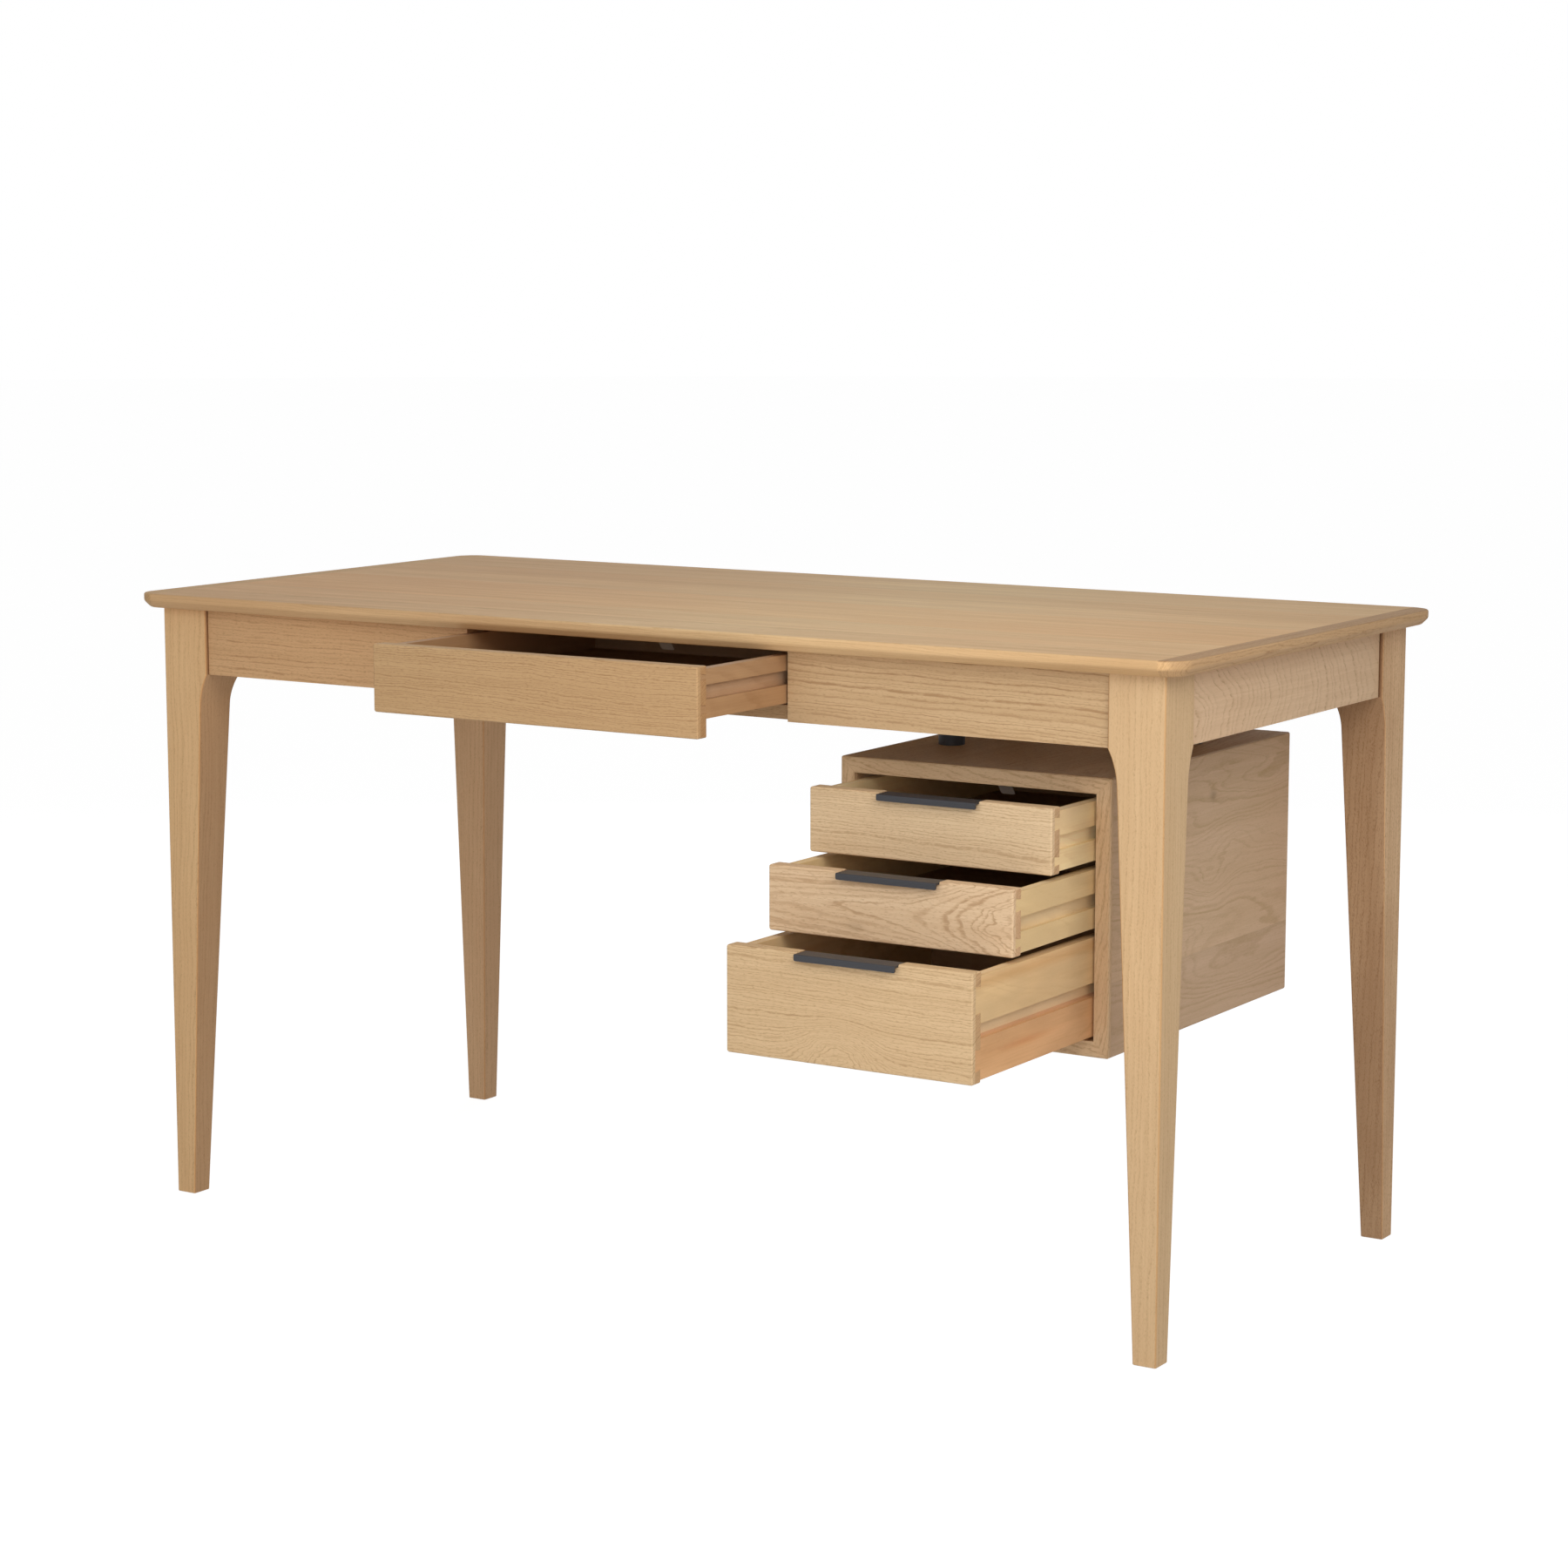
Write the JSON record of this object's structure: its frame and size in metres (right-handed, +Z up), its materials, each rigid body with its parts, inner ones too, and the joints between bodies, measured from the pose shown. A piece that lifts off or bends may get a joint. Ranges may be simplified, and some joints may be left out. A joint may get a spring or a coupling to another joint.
{
  "type": "writing desk",
  "caption": "Oak writing desk on tapered legs with a slim centre drawer and a pedestal of drawers hung under the top on round posts; drawers slide on wooden runners.",
  "frame": {"origin": "on the floor, midway along the desk and midway between the foremost pull and the back edge of the top, with the drawers open as stored", "axes": "+X to the right along the desk's length, +Y to the back, +Z up; the drawers open towards -Y"},
  "size_m": [1.4, 0.8194, 0.743],
  "materials": {
    "oak_top": "clear satin oil on oak boards",
    "oak_frame": "clear satin oil on oak",
    "oak_front": "clear satin oil on oak",
    "oak_pedestal": "clear satin oil on oak",
    "drawer_wood": "bare pale hardwood, lightly sealed",
    "hidden_wood": "bare hardwood",
    "thin_panel": "thin veneered panel",
    "black_metal": "dark grey powder coat",
    "steel": "zinc plated",
    "grey_plastic": "plain grey, slightly glossy",
    "glide_plastic": "plain off-white"
  },
  "bodies": {
    "desk": {"apron_back": "oak_frame", "apron_front_left": "oak_front", "apron_front_right": "oak_front", "apron_left": "oak_frame", "apron_right": "oak_frame", "bottom_runners": "hidden_wood", "centre_runners": "hidden_wood", "centre_stop_flap": "grey_plastic", "corner_blocks": "hidden_wood", "corner_bolts": "steel", "foot_glides": "glide_plastic", "front_rail": "hidden_wood", "guide_board_left": "hidden_wood", "guide_board_right": "hidden_wood", "leg_back_left": "oak_frame", "leg_back_right": "oak_frame", "leg_front_left": "oak_frame", "leg_front_right": "oak_frame", "middle_runners": "hidden_wood", "pedestal_back": "thin_panel", "pedestal_bottom": "oak_pedestal", "pedestal_left": "oak_pedestal", "pedestal_right": "oak_pedestal", "pedestal_stop_flap": "grey_plastic", "pedestal_top": "oak_pedestal", "post_bolts": "steel", "posts": "black_metal", "top_buttons": "hidden_wood", "top_end_left": "oak_top", "top_end_right": "oak_top", "top_panel": "oak_top", "top_runners": "hidden_wood", "wood_screws": "steel"},
    "centre_drawer": {"centre_drawer_back": "drawer_wood", "centre_drawer_bottom": "thin_panel", "centre_drawer_front": "oak_front", "centre_drawer_side_left": "drawer_wood", "centre_drawer_side_right": "drawer_wood"},
    "top_drawer": {"top_drawer_back": "drawer_wood", "top_drawer_bottom": "thin_panel", "top_drawer_front": "oak_front", "top_drawer_pull": "black_metal", "top_drawer_pull_screws": "steel", "top_drawer_side_left": "drawer_wood", "top_drawer_side_right": "drawer_wood"},
    "middle_drawer": {"middle_drawer_back": "drawer_wood", "middle_drawer_bottom": "thin_panel", "middle_drawer_front": "oak_front", "middle_drawer_pull": "black_metal", "middle_drawer_pull_screws": "steel", "middle_drawer_side_left": "drawer_wood", "middle_drawer_side_right": "drawer_wood"},
    "bottom_drawer": {"bottom_drawer_back": "drawer_wood", "bottom_drawer_bottom": "thin_panel", "bottom_drawer_front": "oak_front", "bottom_drawer_pull": "black_metal", "bottom_drawer_pull_screws": "steel", "bottom_drawer_side_left": "drawer_wood", "bottom_drawer_side_right": "drawer_wood"}
  },
  "joints": [
    {"name": "centre_drawer_slide", "type": "slide", "parent": "desk", "child": "centre_drawer", "axis": [0, -1, 0], "range_m": [-0.1724, 0.1984]},
    {"name": "top_drawer_slide", "type": "slide", "parent": "desk", "child": "top_drawer", "axis": [0, -1, 0], "range_m": [-0.0949, 0.2759]},
    {"name": "middle_drawer_slide", "type": "slide", "parent": "desk", "child": "middle_drawer", "axis": [0, -1, 0], "range_m": [-0.1766, 0.1942]},
    {"name": "bottom_drawer_slide", "type": "slide", "parent": "desk", "child": "bottom_drawer", "axis": [0, -1, 0], "range_m": [-0.2585, 0.1123]}
  ]
}
